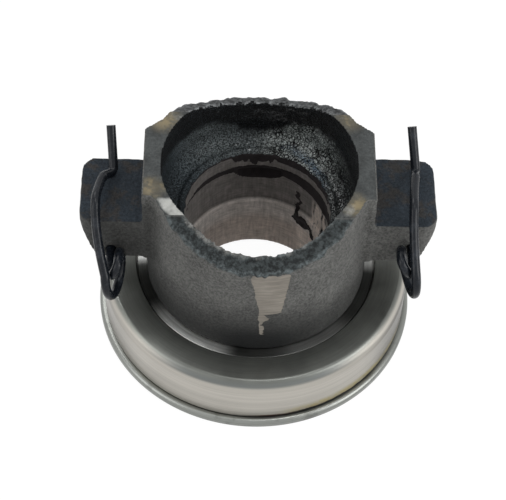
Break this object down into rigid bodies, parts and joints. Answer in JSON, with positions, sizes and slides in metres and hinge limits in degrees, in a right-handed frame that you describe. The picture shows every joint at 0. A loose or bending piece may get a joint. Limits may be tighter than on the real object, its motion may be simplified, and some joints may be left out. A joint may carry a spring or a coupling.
{
  "type": "clutch release bearing",
  "caption": "Cast clutch release carrier with a sliding bore, side ears with wire clips for the fork fingers, and a thrust ball bearing in a pressed shell.",
  "frame": {"origin": "centre of the clutch face, on the bore's axis", "axes": "+Z along the bore towards the gearbox, X through the two ears, -Y towards the coils of the clips"},
  "size_m": [0.084, 0.0784, 0.0532],
  "materials": {
    "cast_iron": "as cast, dark",
    "bearing_steel": "ground",
    "pressed_steel": "pressed, dull",
    "cage_brass": "machined",
    "seal_rubber": "moulded",
    "spring_wire": "glossy black"
  },
  "bodies": {
    "carrier": {"carrier": "cast_iron", "stationary_race": "bearing_steel", "bearing_shell": "pressed_steel"},
    "race": {"rotating_race": "bearing_steel", "inner_seal": "seal_rubber"},
    "cage": {"ball_cage": "cage_brass"},
    "ball_01": {"ball_01": "bearing_steel"},
    "ball_02": {"ball_02": "bearing_steel"},
    "ball_03": {"ball_03": "bearing_steel"},
    "ball_04": {"ball_04": "bearing_steel"},
    "ball_05": {"ball_05": "bearing_steel"},
    "ball_06": {"ball_06": "bearing_steel"},
    "ball_07": {"ball_07": "bearing_steel"},
    "ball_08": {"ball_08": "bearing_steel"},
    "ball_09": {"ball_09": "bearing_steel"},
    "ball_10": {"ball_10": "bearing_steel"},
    "ball_11": {"ball_11": "bearing_steel"},
    "ball_12": {"ball_12": "bearing_steel"},
    "ball_13": {"ball_13": "bearing_steel"},
    "ball_14": {"ball_14": "bearing_steel"},
    "ball_15": {"ball_15": "bearing_steel"},
    "ball_16": {"ball_16": "bearing_steel"},
    "left_clip": {"left_clip": "spring_wire"},
    "right_clip": {"right_clip": "spring_wire"}
  },
  "joints": [
    {"name": "race_spin", "type": "hinge", "parent": "carrier", "child": "race", "pos_m": [0, 0, 0], "axis": [0, 0, 1], "continuous": true},
    {"name": "cage_spin", "type": "hinge", "parent": "carrier", "child": "cage", "pos_m": [0, 0, 0.00785], "axis": [0, 0, 1], "continuous": true},
    {"name": "ball_01_roll", "type": "hinge", "parent": "cage", "child": "ball_01", "pos_m": [0.03, 0, 0.00785], "axis": [1, 0, 0], "continuous": true},
    {"name": "ball_02_roll", "type": "hinge", "parent": "cage", "child": "ball_02", "pos_m": [0.02772, 0.01148, 0.00785], "axis": [0.9239, 0.3827, 0], "continuous": true},
    {"name": "ball_03_roll", "type": "hinge", "parent": "cage", "child": "ball_03", "pos_m": [0.02121, 0.02121, 0.00785], "axis": [0.7071, 0.7071, 0], "continuous": true},
    {"name": "ball_04_roll", "type": "hinge", "parent": "cage", "child": "ball_04", "pos_m": [0.01148, 0.02772, 0.00785], "axis": [0.3827, 0.9239, 0], "continuous": true},
    {"name": "ball_05_roll", "type": "hinge", "parent": "cage", "child": "ball_05", "pos_m": [0, 0.03, 0.00785], "axis": [0, 1, 0], "continuous": true},
    {"name": "ball_06_roll", "type": "hinge", "parent": "cage", "child": "ball_06", "pos_m": [-0.01148, 0.02772, 0.00785], "axis": [-0.3827, 0.9239, 0], "continuous": true},
    {"name": "ball_07_roll", "type": "hinge", "parent": "cage", "child": "ball_07", "pos_m": [-0.02121, 0.02121, 0.00785], "axis": [-0.7071, 0.7071, 0], "continuous": true},
    {"name": "ball_08_roll", "type": "hinge", "parent": "cage", "child": "ball_08", "pos_m": [-0.02772, 0.01148, 0.00785], "axis": [-0.9239, 0.3827, 0], "continuous": true},
    {"name": "ball_09_roll", "type": "hinge", "parent": "cage", "child": "ball_09", "pos_m": [-0.03, 0, 0.00785], "axis": [-1, 0, 0], "continuous": true},
    {"name": "ball_10_roll", "type": "hinge", "parent": "cage", "child": "ball_10", "pos_m": [-0.02772, -0.01148, 0.00785], "axis": [-0.9239, -0.3827, 0], "continuous": true},
    {"name": "ball_11_roll", "type": "hinge", "parent": "cage", "child": "ball_11", "pos_m": [-0.02121, -0.02121, 0.00785], "axis": [-0.7071, -0.7071, 0], "continuous": true},
    {"name": "ball_12_roll", "type": "hinge", "parent": "cage", "child": "ball_12", "pos_m": [-0.01148, -0.02772, 0.00785], "axis": [-0.3827, -0.9239, 0], "continuous": true},
    {"name": "ball_13_roll", "type": "hinge", "parent": "cage", "child": "ball_13", "pos_m": [0, -0.03, 0.00785], "axis": [0, -1, 0], "continuous": true},
    {"name": "ball_14_roll", "type": "hinge", "parent": "cage", "child": "ball_14", "pos_m": [0.01148, -0.02772, 0.00785], "axis": [0.3827, -0.9239, 0], "continuous": true},
    {"name": "ball_15_roll", "type": "hinge", "parent": "cage", "child": "ball_15", "pos_m": [0.02121, -0.02121, 0.00785], "axis": [0.7071, -0.7071, 0], "continuous": true},
    {"name": "ball_16_roll", "type": "hinge", "parent": "cage", "child": "ball_16", "pos_m": [0.02772, -0.01148, 0.00785], "axis": [0.9239, -0.3827, 0], "continuous": true},
    {"name": "left_clip_lift", "type": "hinge", "parent": "carrier", "child": "left_clip", "pos_m": [-0.034, -0.0162, 0.0312], "axis": [1, 0, 0], "range_deg": [0, 15], "stiffness_Nm_per_rad": 2.8, "deforming": ["left_clip"]},
    {"name": "right_clip_lift", "type": "hinge", "parent": "carrier", "child": "right_clip", "pos_m": [0.0351, -0.0162, 0.034], "axis": [1, 0, 0], "range_deg": [0, 15], "stiffness_Nm_per_rad": 2.8, "deforming": ["right_clip"]}
  ],
  "couplings": [
    {"joint": "cage_spin", "follows": "race_spin", "ratio": 0.5},
    {"joint": "ball_01_roll", "follows": "race_spin", "ratio": 3.7783},
    {"joint": "ball_02_roll", "follows": "race_spin", "ratio": 3.7783},
    {"joint": "ball_03_roll", "follows": "race_spin", "ratio": 3.7783},
    {"joint": "ball_04_roll", "follows": "race_spin", "ratio": 3.7783},
    {"joint": "ball_05_roll", "follows": "race_spin", "ratio": 3.7783},
    {"joint": "ball_06_roll", "follows": "race_spin", "ratio": 3.7783},
    {"joint": "ball_07_roll", "follows": "race_spin", "ratio": 3.7783},
    {"joint": "ball_08_roll", "follows": "race_spin", "ratio": 3.7783},
    {"joint": "ball_09_roll", "follows": "race_spin", "ratio": 3.7783},
    {"joint": "ball_10_roll", "follows": "race_spin", "ratio": 3.7783},
    {"joint": "ball_11_roll", "follows": "race_spin", "ratio": 3.7783},
    {"joint": "ball_12_roll", "follows": "race_spin", "ratio": 3.7783},
    {"joint": "ball_13_roll", "follows": "race_spin", "ratio": 3.7783},
    {"joint": "ball_14_roll", "follows": "race_spin", "ratio": 3.7783},
    {"joint": "ball_15_roll", "follows": "race_spin", "ratio": 3.7783},
    {"joint": "ball_16_roll", "follows": "race_spin", "ratio": 3.7783}
  ]
}
